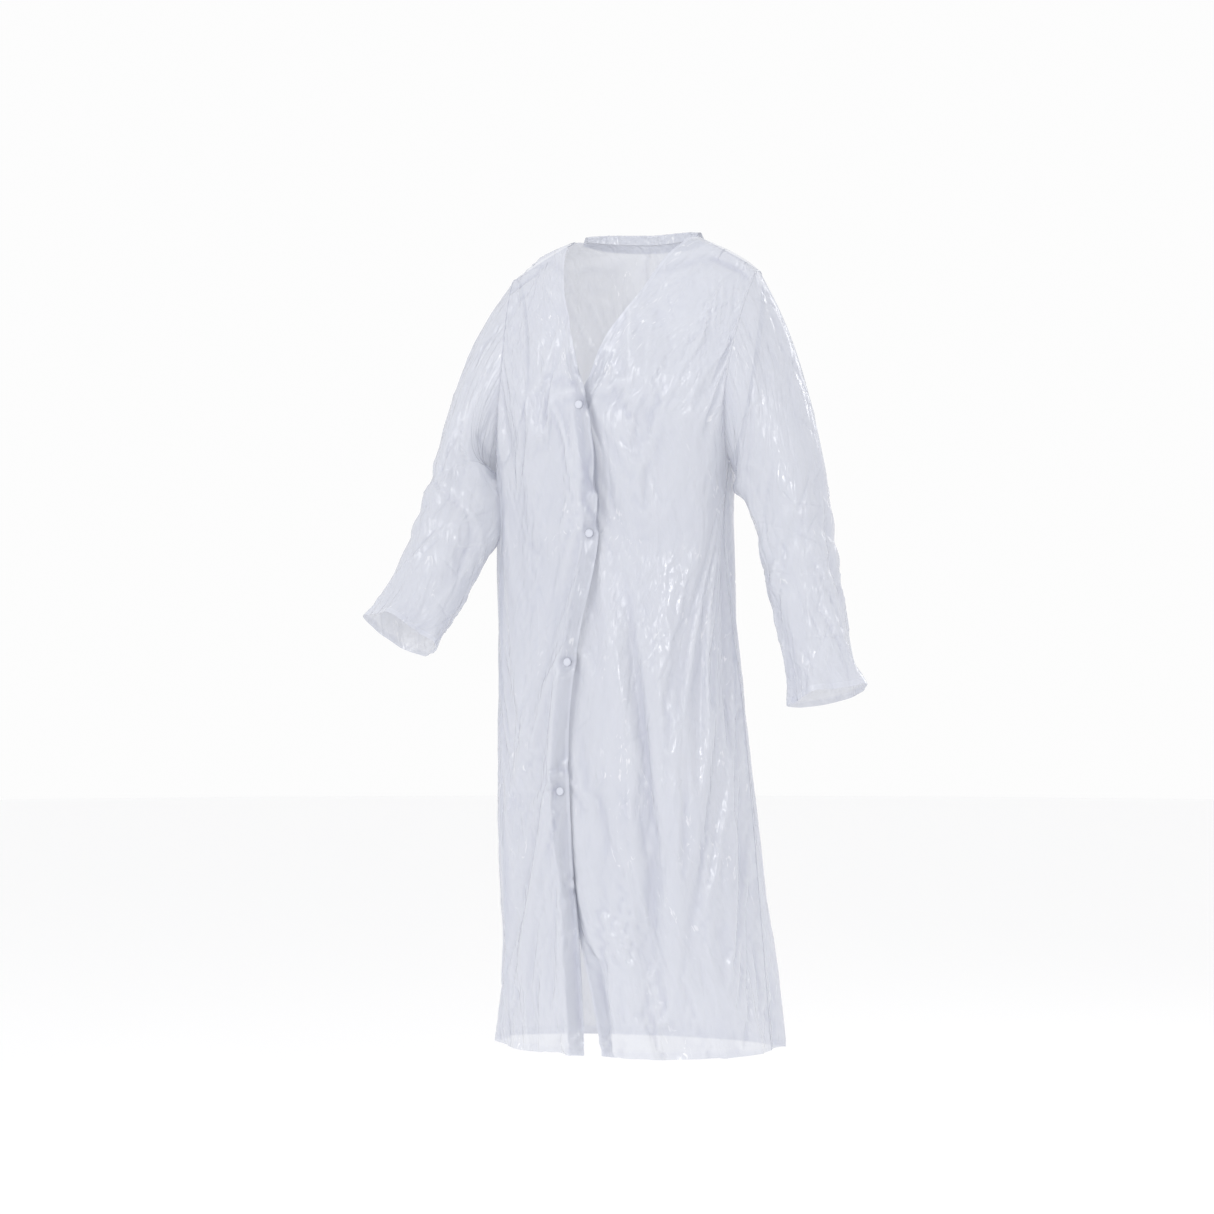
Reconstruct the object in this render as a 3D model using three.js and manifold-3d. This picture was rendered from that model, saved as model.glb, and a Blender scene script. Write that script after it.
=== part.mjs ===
// A disposable lab coat of thin polyethylene film, standing open as it is worn.
// Units are millimetres. +Z is up, the front of the coat faces -Y and the wearer's left is +X.
// The origin is the middle of the neck opening, level with the two neck points.
//
// Every film piece is a curved panel of constant wall. A flat slab or a plain ring is cut into
// cells, and each of its corners is carried onto the form that the film hangs over.

import * as THREE from 'three';
import { mergeVertices } from 'three/addons/utils/BufferGeometryUtils.js';
import Module from 'manifold-3d';

const wasm = await Module();
wasm.setup();

// ---------------------------------------------------------------------------------------------
// Driving dimensions
// ---------------------------------------------------------------------------------------------

// Heights below the neck points
const coatLength = 1150;
const hipDrop = 690;
const waistDrop = 440;
const armpitDrop = 320;
const yokeDrop = 190;

// Half widths and half depths of the body
const hemHalfWidth = 199;
const hemHalfDepth = 150;
const hipHalfWidth = 187;
const hipHalfDepth = 132;
const waistHalfWidth = 170;
const waistHalfDepth = 113;
const chestHalfWidth = 173;
const chestHalfDepth = 114;
const yokeHalfDepth = 114;

// Shoulders and neck
const neckHalfWidth = 93;
const shoulderHalfWidth = 185;
const shoulderDrop = 54;
const neckPointDrop = 2;
const backNeckDrop = 6;
const neckRise = 45;
const shoulderFullness = 19;
const shoulderRunOut = 25;
const shoulderRunOutDrop = 22;
const armholeInset = 1;

// Film, seams and layers
const wall = 1;
const seamGap = 0.5;
const sleeveGap = 2.2;
const layerGap = 0.8;

// Front opening
const overlap = 27;
const facingWidth = 24;
const foldDrop = 330;
const rightLapelDrop = 150;
const leftLapelDrop = 140;
const foldGap = 1;
const stepBackStart = 34;
const stepBackWidth = 30;

// Collar
const collarStand = 12;
const collarFall = 26;
const collarEndScale = 0.45;
const collarInset = 8;
const collarFoldReach = 3;
const collarFoldRise = 2;
const collarSlope = 1.8;
const collarTurn = 1.2;

// Press studs
const snapCount = 4;
const snapTopDrop = 245;
const snapPitch = 180;
const snapDiameter = 12;
const capThickness = 1.3;
const capBevel = 0.8;
const prongDiameter = 3;
const prongClearance = 0.4;
const socketDiameter = 10;
const socketHeight = 2.2;
const socketFloor = 0.5;
const studBase = 0.8;
const knobDiameter = 4;
const knobHeight = 1.5;
const knobClearance = 0.5;

// Sleeves
const elbowReach = 200;
const leftCuffHalfWidth = 54;
const rightCuffHalfWidth = 58;

// How finely the film is divided
const rowsBelowFold = 24;
const rowsBesideFold = 4;
const rowsBesideNeck = 5;
const backColumns = 20;
const frontColumns = 7;
const flapColumns = 7;
const facingColumns = 2;
const sleeveSides = 20;
const upperSleeveRows = 8;
const lowerSleeveRows = 7;
const collarColumns = 14;
const collarRows = 6;
const snapSides = 12;

const armholeHalfWidth = chestHalfWidth - armholeInset;

// How square the body is seen from above, and how full the shoulders are seen from the side
const squareness = 2.3;
const closingPower = 2.2;

// ---------------------------------------------------------------------------------------------
// Small helpers
// ---------------------------------------------------------------------------------------------

const { clamp, lerp, smoothstep } = THREE.MathUtils;

// A smooth curve through [position, value] pairs sorted by rising position.
function through(pairs) {
  const last = pairs.length - 1;
  const slope = (i) => {
    const a = pairs[Math.max(i - 1, 0)];
    const b = pairs[Math.min(i + 1, last)];
    return (b[1] - a[1]) / (b[0] - a[0]);
  };
  return (position) => {
    const p = clamp(position, pairs[0][0], pairs[last][0]);
    let i = 0;
    while (i < last - 1 && p > pairs[i + 1][0]) {
      i += 1;
    }
    const span = pairs[i + 1][0] - pairs[i][0];
    const t = (p - pairs[i][0]) / span;
    const start = (1 + 2 * t) * (1 - t) ** 2 * pairs[i][1];
    const leave = t * (1 - t) ** 2 * span * slope(i);
    const end = t * t * (3 - 2 * t) * pairs[i + 1][1];
    const arrive = t * t * (t - 1) * span * slope(i + 1);
    return start + leave + end + arrive;
  };
}

function signedPower(value, power) {
  return Math.sign(value) * Math.abs(value) ** power;
}

// Merges shared corners and turns every face outwards.
function closedBody(geometry) {
  const body = geometry.clone();
  body.deleteAttribute('normal');
  body.deleteAttribute('uv');
  const merged = mergeVertices(body, 1e-4);
  const place = merged.attributes.position;
  const index = merged.index.array;
  const [a, b, c] = [new THREE.Vector3(), new THREE.Vector3(), new THREE.Vector3()];
  let volume = 0;
  for (let i = 0; i < index.length; i += 3) {
    a.fromBufferAttribute(place, index[i]);
    b.fromBufferAttribute(place, index[i + 1]);
    c.fromBufferAttribute(place, index[i + 2]);
    volume += a.dot(b.cross(c));
  }
  if (volume < 0) {
    for (let i = 0; i < index.length; i += 3) {
      [index[i], index[i + 1]] = [index[i + 1], index[i]];
    }
  }
  return merged;
}

function toSolid(geometry) {
  const mesh = new wasm.Mesh({
    numProp: 3,
    vertProperties: new Float32Array(geometry.attributes.position.array),
    triVerts: new Uint32Array(geometry.index.array),
  });
  return new wasm.Manifold(mesh);
}

function toGeometry(solid) {
  const mesh = solid.getMesh();
  const geometry = new THREE.BufferGeometry();
  geometry.setAttribute('position', new THREE.BufferAttribute(mesh.vertProperties, 3));
  geometry.setIndex(new THREE.BufferAttribute(mesh.triVerts, 1));
  return geometry;
}

// Moves every corner of a geometry to the place that a function gives for it.
function carry(geometry, placeOf) {
  const position = geometry.attributes.position;
  const corner = new THREE.Vector3();
  for (let i = 0; i < position.count; i += 1) {
    corner.fromBufferAttribute(position, i);
    const place = placeOf(corner);
    position.setXYZ(i, place.x, place.y, place.z);
  }
  return closedBody(geometry);
}

// The outward direction of a surface(u, v), by small steps that stay inside 0 to 1.
function outward(surface, u, v, away) {
  const step = 1e-3;
  const u0 = clamp(u - step, 0, 1);
  const u1 = clamp(u + step, 0, 1);
  const v0 = clamp(v - step, 0, 1);
  const v1 = clamp(v + step, 0, 1);
  const alongU = surface(u1, v).sub(surface(u0, v));
  const alongV = surface(u, v1).sub(surface(u, v0));
  const normal = alongU.cross(alongV).normalize();
  return normal.dot(away(u, v)) < 0 ? normal.negate() : normal;
}

// A panel of film: surface(u, v) is its outer face and the wall lies behind it.
function filmPanel(surface, away, columns, rows, depth = 0) {
  const slab = new THREE.BoxGeometry(1, 1, 1, columns, rows, 1);
  return carry(slab, (corner) => {
    const u = corner.x + 0.5;
    const v = corner.y + 0.5;
    const behind = depth + (corner.z > 0 ? 0 : wall);
    return surface(u, v).addScaledVector(outward(surface, u, v, away), -behind);
  });
}

// ---------------------------------------------------------------------------------------------
// The form that the film hangs over
// ---------------------------------------------------------------------------------------------

// Each level holds the height, the sideways and forward shift of the body, and its half sizes.
// The wearer stands with the hips a little to the right, so the shift changes down the coat.
const levels = [
  [-coatLength, 10, -15, hemHalfWidth, hemHalfDepth],
  [-hipDrop, -18, -15, hipHalfWidth, hipHalfDepth],
  [-waistDrop, -31, -15, waistHalfWidth, waistHalfDepth],
  [-armpitDrop, -25, -18, chestHalfWidth, chestHalfDepth],
  [-yokeDrop, -9, -16, armholeHalfWidth + shoulderFullness, yokeHalfDepth],
  [-shoulderDrop, 0, 0, shoulderHalfWidth + shoulderFullness, yokeHalfDepth],
  [0, 0, 4, shoulderHalfWidth + shoulderFullness, yokeHalfDepth],
];
const column = (k) => through(levels.map((level) => [level[0], level[k]]));
const middleX = column(1);
const middleY = column(2);
const halfWidth = column(3);
const halfDepth = column(4);

// Height of the shoulder line over a sideways distance. Inside the neck it goes on upwards.
const shoulderLine = through([
  [0, neckRise],
  [neckHalfWidth, -neckPointDrop],
  [shoulderHalfWidth, -shoulderDrop],
  [shoulderHalfWidth + shoulderRunOut, -shoulderDrop - shoulderRunOutDrop],
]);

// Distance of the armhole seam from the body's middle, from the armpit up to the shoulder.
const armhole = through([
  [-armpitDrop, chestHalfWidth],
  [-yokeDrop, armholeHalfWidth],
  [-shoulderDrop, shoulderHalfWidth],
]);

// How far the body has closed in over the shoulders at a place: 1 below the arms, 0 on the ridge.
function closing(x, z) {
  const height = clamp((z + armpitDrop) / (shoulderLine(Math.abs(x)) + armpitDrop), 0, 1);
  return (1 - height ** closingPower) ** (1 / closingPower);
}

// The angle round the body, from 0 at the middle to a quarter turn at the side, of a place x.
function angleOf(x, z) {
  const share = clamp((x - middleX(z)) / halfWidth(z), -1, 1);
  return Math.asin(signedPower(share, squareness / 2));
}

// A point on the form. face is -1 on the front and +1 on the back.
function formPoint(angle, z, face) {
  const x = middleX(z) + halfWidth(z) * signedPower(Math.sin(angle), 2 / squareness);
  const reach = halfDepth(z) * Math.cos(angle) ** (2 / squareness) * closing(x, z);
  return new THREE.Vector3(x, middleY(z) + face * (seamGap / 2 + reach), z);
}

function formPointAt(x, z, face) {
  return formPoint(angleOf(x, z), z, face);
}

// Away from the middle of the body, which tells the outside of a panel from its inside.
function awayFromBody(surface) {
  return (u, v) => {
    const p = surface(u, v);
    const centre = new THREE.Vector3(middleX(p.z), middleY(p.z), Math.min(p.z, -armpitDrop));
    return p.sub(centre);
  };
}

// Side edge of a body panel: the side seam below the arm and the armhole seam above it.
function sideEdge(side, z) {
  if (z <= -armpitDrop) {
    return (side * Math.PI) / 2;
  }
  return angleOf(middleX(z) + side * armhole(z), z);
}

// ---------------------------------------------------------------------------------------------
// Front edges. Each is a curve of sideways place over height.
// ---------------------------------------------------------------------------------------------

const right = -1;
const left = 1;

const topEdge = through([
  [-coatLength, -18], [-1000, -28], [-850, -40], [-hipDrop, -44], [-560, -30],
  [-waistDrop, -9], [-armpitDrop, -12], [-215, -29], [-rightLapelDrop, -50],
]);

// The under layer keeps the overlap past the press studs and swings clear of the top one at the hem.
const overlapped = [-850, -hipDrop, -560, -waistDrop, -armpitDrop, -250];
const underEdge = through([
  [-coatLength, 8], [-1032, -17], [-950, -46],
  ...overlapped.map((z) => [z, topEdge(z) - overlap]),
  [-215, -32], [-170, -18], [-leftLapelDrop, -2],
]);

// The lapel point ends the neckline. Below it the free edge belongs to the part that swings open,
// and a straight crease runs from the lapel point down to the top of the fold line.
const fronts = {
  [right]: {
    name: 'right_front',
    lapel: -rightLapelDrop,
    neckline: through([
      [-rightLapelDrop, -50], [-90, -74], [-40, -87], [-neckPointDrop, -neckHalfWidth],
    ]),
    freeEdge: topEdge,
    foldLine: through([[-coatLength, -134], [-foldDrop, -130]]),
    cover: 0,
  },
  [left]: {
    name: 'left_front',
    lapel: -leftLapelDrop,
    neckline: through([
      [-leftLapelDrop, -2], [-86, 39], [-34, 66], [-neckPointDrop, neckHalfWidth],
    ]),
    freeEdge: underEdge,
    foldLine: through([[-coatLength, 96], [-foldDrop, 76]]),
    cover: 1,
  },
};

// Depths below the outer face of the closed front, from the top layer to the wearer.
const topFacingDepth = wall + layerGap;
const socketDepth = topFacingDepth + wall + layerGap;
const studDepth = socketDepth + socketHeight + layerGap;
const underFilmDepth = studDepth + studBase + layerGap;
const underFacingDepth = underFilmDepth + wall + layerGap;
const backCapDepth = underFacingDepth + wall + layerGap;

// The under layer steps back behind the top layer before it reaches it.
function frontPoint(side, x, z) {
  const point = formPointAt(x, z, -1);
  const share = 1 - smoothstep(x, stepBackStart - stepBackWidth, stepBackStart);
  point.y += fronts[side].cover * underFilmDepth * share;
  return point;
}

// The part of a front that stays with the body: side, chest and shoulder. Its inner edge goes up
// the fold line, along the crease to the lapel point and up the neckline.
function frontPanel(side) {
  const front = fronts[side];
  const rows = rowsBelowFold + rowsBesideFold + rowsBesideNeck;
  const rowsBesideArm = rowsBesideFold + rowsBesideNeck;
  const inner = (row) => {
    if (row <= rowsBelowFold) {
      const z = lerp(-coatLength, -foldDrop, row / rowsBelowFold);
      return [front.foldLine(z), z];
    }
    if (row <= rowsBelowFold + rowsBesideFold) {
      const share = (row - rowsBelowFold) / rowsBesideFold;
      const z = lerp(-foldDrop, front.lapel, share);
      return [lerp(front.foldLine(-foldDrop), front.neckline(front.lapel), share), z];
    }
    const share = (row - rowsBelowFold - rowsBesideFold) / rowsBesideNeck;
    const z = lerp(front.lapel, -neckPointDrop, share);
    return [front.neckline(z), z];
  };
  const outerHeight = (row) => {
    if (row <= rowsBelowFold) {
      return lerp(-coatLength, -armpitDrop, row / rowsBelowFold);
    }
    return lerp(-armpitDrop, -shoulderDrop, (row - rowsBelowFold) / rowsBesideArm);
  };
  const surface = (u, v) => {
    const row = v * rows;
    const [innerX, innerZ] = inner(row);
    const topX = lerp(neckHalfWidth, shoulderHalfWidth, u);
    const seamZ = shoulderLine(topX) - lerp(-neckPointDrop, -shoulderDrop, u);
    const upper = smoothstep(row, rowsBelowFold, rows);
    const z = lerp(innerZ, outerHeight(row), u) + seamZ * upper;
    const outerAngle = sideEdge(side, z);
    const innerAngle = angleOf(innerX, z);
    return formPoint(lerp(innerAngle, outerAngle, u), z, -1);
  };
  return filmPanel(surface, awayFromBody(surface), frontColumns, rows);
}

// The part of a front that swings open. Each row runs straight from the free edge to the fold, and
// across is the distance from the free edge along the row.
function flapSurface(side) {
  const front = fronts[side];
  return (placeAcross, v) => {
    const edgeZ = lerp(-coatLength, front.lapel - 2 * seamGap, v);
    const foldZ = lerp(-coatLength, -foldDrop - 2 * seamGap, v);
    const edgeX = front.freeEdge(edgeZ);
    const foldX = front.foldLine(foldZ) - side * foldGap;
    const length = Math.hypot(foldX - edgeX, foldZ - edgeZ);
    const share = placeAcross(length) / length;
    return frontPoint(side, lerp(edgeX, foldX, share), lerp(edgeZ, foldZ, share));
  };
}

// The first columns of a flap are as wide as the facing, so that the two layers bend alike.
function frontFlap(side) {
  const flap = flapSurface(side);
  const facingShare = facingColumns / flapColumns;
  const band = facingWidth + wall;
  const surface = (u, v) => flap((length) => {
    if (u < facingShare) {
      return (band * u) / facingShare;
    }
    return lerp(band, length, (u - facingShare) / (1 - facingShare));
  }, v);
  return filmPanel(surface, awayFromBody(surface), flapColumns, rowsBelowFold);
}

// The folded-in band that backs the free edge and holds the press studs. It keeps the flap's rows.
function frontFacing(side) {
  const flap = flapSurface(side);
  const rows = rowsBelowFold - 1;
  const surface = (u, v) => flap(() => wall + facingWidth * u, (v * rows) / rowsBelowFold);
  return filmPanel(surface, awayFromBody(surface), facingColumns, rows, wall + layerGap);
}

// ---------------------------------------------------------------------------------------------
// Back panel and collar
// ---------------------------------------------------------------------------------------------

function backTop(x) {
  const share = Math.abs(x) / neckHalfWidth;
  if (share >= 1) {
    return shoulderLine(Math.abs(x));
  }
  return lerp(-backNeckDrop, -neckPointDrop, share ** 2);
}

function backPanel() {
  const surface = (u, v) => {
    const across = 2 * u - 1;
    const topX = shoulderHalfWidth * across;
    const z = lerp(-coatLength, backTop(topX), v);
    const angle = lerp(sideEdge(right, z), sideEdge(left, z), u);
    const straight = angleOf(topX, z);
    const towardsTop = smoothstep(z, -armpitDrop, -shoulderDrop);
    return formPoint(lerp(angle, straight, towardsTop), z, 1);
  };
  const rows = rowsBelowFold + rowsBesideFold + rowsBesideNeck;
  return filmPanel(surface, awayFromBody(surface), backColumns, rows);
}

// The collar is one folded strip. It stands on the back neck edge and falls over the back. The
// first two fifths of its width stand, the last two fifths fall and the fold lies between.
function collar() {
  const standShare = 0.4;
  const fallShare = 0.6;
  const placeOf = (u) => lerp(-1, 1, u) * (neckHalfWidth - collarInset);
  const foldShare = (v) => clamp((v - standShare) / (fallShare - standShare), 0, 1);
  const directions = (x) => {
    const up = new THREE.Vector3(0, 0, 1);
    const side = x / neckHalfWidth;
    const out = new THREE.Vector3(side, Math.cos(side * collarTurn), 0).normalize();
    const fall = out.clone().addScaledVector(up, -collarSlope).normalize();
    return { up, out, fall };
  };
  const surface = (u, v) => {
    const x = placeOf(u);
    const { up, out, fall } = directions(x);
    const size = lerp(1, collarEndScale, (2 * u - 1) ** 4);
    const turn = foldShare(v) * Math.PI;
    const stand = collarStand * size * Math.min(v / standShare, 1);
    const drop = collarFall * size * Math.max((v - fallShare) / (1 - fallShare), 0);
    const point = formPointAt(x, backTop(x), 1);
    point.addScaledVector(up, wall + layerGap + stand + collarFoldRise * Math.sin(turn));
    point.addScaledVector(out, collarFoldReach * (1 - Math.cos(turn)) - wall);
    return point.addScaledVector(fall, drop);
  };
  const away = (u, v) => {
    const { up, out } = directions(placeOf(u));
    return out.multiplyScalar(2 * foldShare(v) - 1).addScaledVector(up, standShare);
  };
  return filmPanel(surface, away, collarColumns, collarRows);
}

// ---------------------------------------------------------------------------------------------
// Sleeves
// ---------------------------------------------------------------------------------------------

// The line down the middle of an arm. Each point holds how far it lies outside the body's side
// form, its place along Y and its height.
function armPath(side, points) {
  return new THREE.CatmullRomCurve3(points.map(([outside, y, z]) => {
    const x = middleX(z) + side * (halfWidth(z) + outside);
    return new THREE.Vector3(x, y, z);
  }));
}

const sleeves = {
  [right]: {
    path: armPath(right, [
      [-4, -8, -190], [27, -18, -245], [46, -40, -322], [49.5, -84, -420],
      [63.5, -126, -500], [88, -168, -566],
    ]),
    outIn: through([[0, 90], [0.36, 46], [0.6, 54], [0.94, 54], [1, rightCuffHalfWidth]]),
    frontBack: through([[0, 62], [0.35, 60], [0.7, 52], [0.94, 47], [1, 50]]),
  },
  [left]: {
    path: armPath(left, [
      [-10, -8, -190], [33, -7, -250], [75.5, -6, -335], [104.5, -12, -430],
      [118, -22, -530], [135.5, -42, -652],
    ]),
    outIn: through([[0, 100], [0.35, 60], [0.7, 50], [0.92, 47], [1, leftCuffHalfWidth]]),
    frontBack: through([[0, 62], [0.35, 58], [0.7, 48], [0.92, 44], [1, 50]]),
  },
};
const joinLength = 0.42;

// A point of the armhole seam. The turn is 0 at the shoulder, a quarter in front, a half below.
function armholePoint(side, turn) {
  const half = (armpitDrop - shoulderDrop) / 2;
  const z = -shoulderDrop - half + half * Math.cos(turn);
  const x = middleX(z) + side * armhole(z);
  const face = Math.sin(turn) >= 0 ? -1 : 1;
  return formPointAt(x, z, face);
}

// One length of sleeve, from one share of the arm to another.
function sleeve(side, rows, from, to) {
  const { path, outIn, frontBack } = sleeves[side];
  const start = path.getPointAt(0);
  const cross = (turn, along) => {
    const middle = path.getPointAt(along);
    const down = path.getTangentAt(along);
    const outside = new THREE.Vector3(side, 0, 0).addScaledVector(down, -side * down.x).normalize();
    const front = new THREE.Vector3().crossVectors(down, outside);
    const ahead = front.y > 0 ? front.negate() : front;
    const point = middle.clone().addScaledVector(outside, outIn(along) * Math.cos(turn));
    return point.addScaledVector(ahead, frontBack(along) * Math.sin(turn));
  };
  const surface = (u, along) => {
    const turn = u * 2 * Math.PI;
    const seam = armholePoint(side, turn).add(path.getPointAt(along)).sub(start);
    seam.x += side * sleeveGap;
    return seam.lerp(cross(turn, along), smoothstep(along, 0, joinLength));
  };
  const normalAt = (u, along) => {
    const step = 1e-3;
    const around = surface((u + step) % 1, along).sub(surface((u - step + 1) % 1, along));
    const ahead = surface(u, Math.min(along + step, 1));
    const normal = around.cross(ahead.sub(surface(u, Math.max(along - step, 0)))).normalize();
    const away = surface(u, along).sub(path.getPointAt(along));
    return normal.dot(away) < 0 ? normal.negate() : normal;
  };
  const outerRadius = 2;
  const innerRadius = 1;
  const profile = [];
  for (let row = 0; row <= rows; row += 1) {
    profile.push(new THREE.Vector2(outerRadius, row / rows));
  }
  for (let row = rows; row >= 0; row -= 1) {
    profile.push(new THREE.Vector2(innerRadius, row / rows));
  }
  profile.push(profile[0].clone());
  const ring = new THREE.LatheGeometry(profile, sleeveSides);
  return carry(ring, (corner) => {
    const turn = Math.atan2(corner.x, corner.z) / (2 * Math.PI);
    const u = (turn + 1) % 1;
    const along = lerp(from, to, corner.y);
    const inwards = outerRadius - Math.round(Math.hypot(corner.x, corner.z));
    return surface(u, along).addScaledVector(normalAt(u, along), -inwards * wall);
  });
}

// The sleeve bends at the elbow, so it is made in an upper and a lower length.
function upperSleeve(side) {
  const { path } = sleeves[side];
  return sleeve(side, upperSleeveRows, 0, (elbowReach - seamGap) / path.getLength());
}

function lowerSleeve(side) {
  const { path } = sleeves[side];
  return sleeve(side, lowerSleeveRows, (elbowReach + seamGap) / path.getLength(), 1);
}

// ---------------------------------------------------------------------------------------------
// Press studs. Each profile runs inwards along the axis from the outer face of the closed front.
// ---------------------------------------------------------------------------------------------

function turned(points) {
  const profile = points.map(([radius, depth]) => new THREE.Vector2(radius, -depth));
  return new THREE.LatheGeometry(profile, snapSides);
}

const snapRadius = snapDiameter / 2;
const prongRadius = prongDiameter / 2;
const socketRadius = socketDiameter / 2;
const boreRadius = knobDiameter / 2 + knobClearance;

const snapShapes = {
  cap: turned([
    [0, socketDepth - layerGap], [prongRadius, socketDepth - layerGap], [prongRadius, -layerGap],
    [snapRadius, -layerGap], [snapRadius - capBevel, -layerGap - capThickness],
    [0, -layerGap - capThickness],
  ]),
  socket: turned([
    [0, socketDepth], [0, socketDepth + socketFloor], [boreRadius, socketDepth + socketFloor],
    [boreRadius, socketDepth + socketHeight], [socketRadius, socketDepth + socketHeight],
    [socketRadius, socketDepth], [0, socketDepth],
  ]),
  stud: turned([
    [0, studDepth + studBase], [socketRadius, studDepth + studBase], [socketRadius, studDepth],
    [knobDiameter / 2, studDepth], [knobDiameter / 2, studDepth - knobHeight],
    [0, studDepth - knobHeight],
  ]),
  back_cap: turned([
    [0, backCapDepth + capThickness], [snapRadius - capBevel, backCapDepth + capThickness],
    [snapRadius, backCapDepth], [prongRadius, backCapDepth], [prongRadius, underFilmDepth],
    [0, underFilmDepth],
  ]),
};

// Where a snap sits: in the middle of the overlap, square to the film.
function snapPlace(number) {
  const z = -snapTopDrop - snapPitch * number;
  const x = topEdge(z) - overlap / 2;
  const point = formPointAt(x, z, -1);
  const across = formPointAt(x + 1, z, -1).sub(formPointAt(x - 1, z, -1));
  const upward = formPointAt(x, z + 1, -1).sub(formPointAt(x, z - 1, -1));
  const normal = across.cross(upward).normalize();
  const turn = new THREE.Quaternion().setFromUnitVectors(new THREE.Vector3(0, 1, 0), normal);
  return new THREE.Matrix4().compose(point, turn, new THREE.Vector3(1, 1, 1));
}

const snapPlaces = Array.from({ length: snapCount }, (_, number) => snapPlace(number));

// Cuts the prong holes of all the snaps through one layer of film.
function pierced(geometry) {
  const reach = 3 * backCapDepth;
  const punch = new THREE.CylinderGeometry(
    prongRadius + prongClearance, prongRadius + prongClearance, reach, snapSides,
  );
  let solid = toSolid(geometry);
  for (const place of snapPlaces) {
    const hole = closedBody(punch.clone().applyMatrix4(place));
    solid = solid.subtract(toSolid(hole));
  }
  return toGeometry(solid);
}

// ---------------------------------------------------------------------------------------------
// Materials and assembly
// ---------------------------------------------------------------------------------------------

const film = { color: 0xd7dae4, roughness: 0.28, metalness: 0 };
const doubledFilm = { color: 0xe2e5ee, roughness: 0.3, metalness: 0 };
const snapPlastic = { color: 0xf1f3f6, roughness: 0.4, metalness: 0 };

const coat = new THREE.Group();

function add(name, geometry, finish) {
  const mesh = new THREE.Mesh(geometry, new THREE.MeshStandardMaterial(finish));
  mesh.name = name;
  coat.add(mesh);
  return mesh;
}

add('back_panel', backPanel(), film);
add('collar', collar(), doubledFilm);

for (const side of [right, left]) {
  const { name } = fronts[side];
  add(`${name}_panel`, frontPanel(side), film);
  add(`${name}_flap`, pierced(frontFlap(side)), film);
  add(`${name}_facing`, pierced(frontFacing(side)), doubledFilm);
}

add('right_sleeve_upper', upperSleeve(right), film);
add('right_sleeve_lower', lowerSleeve(right), film);
add('left_sleeve_upper', upperSleeve(left), film);
add('left_sleeve_lower', lowerSleeve(left), film);

snapPlaces.forEach((place, number) => {
  for (const [piece, shape] of Object.entries(snapShapes)) {
    const mesh = add(`snap_${piece}_${number + 1}`, closedBody(shape), snapPlastic);
    mesh.applyMatrix4(place);
  }
});

export default coat;
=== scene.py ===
# %% [markdown]
# # A disposable lab coat of thin film
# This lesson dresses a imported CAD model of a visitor's lab coat. The real coat is cut from
# milky polyethylene film about 0.03 mm thick, and its sheets are welded along the shoulders,
# sides and armholes. The CAD model holds the pieces, the joints and the sizes. Here each piece
# of film becomes one thin, creased sheet that follows the same form.

import bpy
import numpy as np
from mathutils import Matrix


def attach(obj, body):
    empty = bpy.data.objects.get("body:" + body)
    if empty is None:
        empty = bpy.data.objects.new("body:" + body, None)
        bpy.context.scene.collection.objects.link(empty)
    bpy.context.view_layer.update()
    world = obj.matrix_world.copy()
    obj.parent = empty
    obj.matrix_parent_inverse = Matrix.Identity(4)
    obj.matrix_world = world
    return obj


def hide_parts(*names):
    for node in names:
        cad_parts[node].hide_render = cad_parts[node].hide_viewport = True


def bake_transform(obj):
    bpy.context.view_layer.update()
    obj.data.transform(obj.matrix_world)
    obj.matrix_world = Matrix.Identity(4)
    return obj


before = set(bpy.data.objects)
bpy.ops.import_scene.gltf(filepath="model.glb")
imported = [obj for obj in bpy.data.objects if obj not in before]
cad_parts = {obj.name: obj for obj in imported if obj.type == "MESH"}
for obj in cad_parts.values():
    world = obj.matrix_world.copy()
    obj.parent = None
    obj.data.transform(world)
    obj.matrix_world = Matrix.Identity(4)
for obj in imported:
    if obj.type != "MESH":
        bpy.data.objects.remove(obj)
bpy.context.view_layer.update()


# %% [markdown]
# ## Camera
# The camera comes first, so that every later step can be looked at. The coat hangs as it is
# worn by a standing person and is seen level, from a little to its left. The lens is long and
# far away, which keeps the outline calm.

# %% Camera
view_angle = np.radians(21)
view_distance = 4.82
across_view = np.array([np.cos(view_angle), np.sin(view_angle), 0])
aim = -0.0415 * across_view + np.array([0, 0, -0.528])
camera = bpy.data.objects.new("camera", bpy.data.cameras.new("camera"))
camera.data.lens = 100
camera.location = aim + view_distance * np.array([np.sin(view_angle), -np.cos(view_angle), 0])
camera.rotation_euler = (np.pi / 2, 0, view_angle)
bpy.context.collection.objects.link(camera)
bpy.context.scene.camera = camera
bpy.context.scene.view_settings.view_transform = "Standard"
print("camera at", np.round(camera.location, 2))


# %% [markdown]
# ## Shader words
# A finish is a tree of nodes. Writing it as sums keeps it readable: `Wire` stands for one
# output, and adding or multiplying wires adds the Math nodes. Any other node comes from
# `Finish.node`, which takes its type, its settings and what goes into its sockets.

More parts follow.
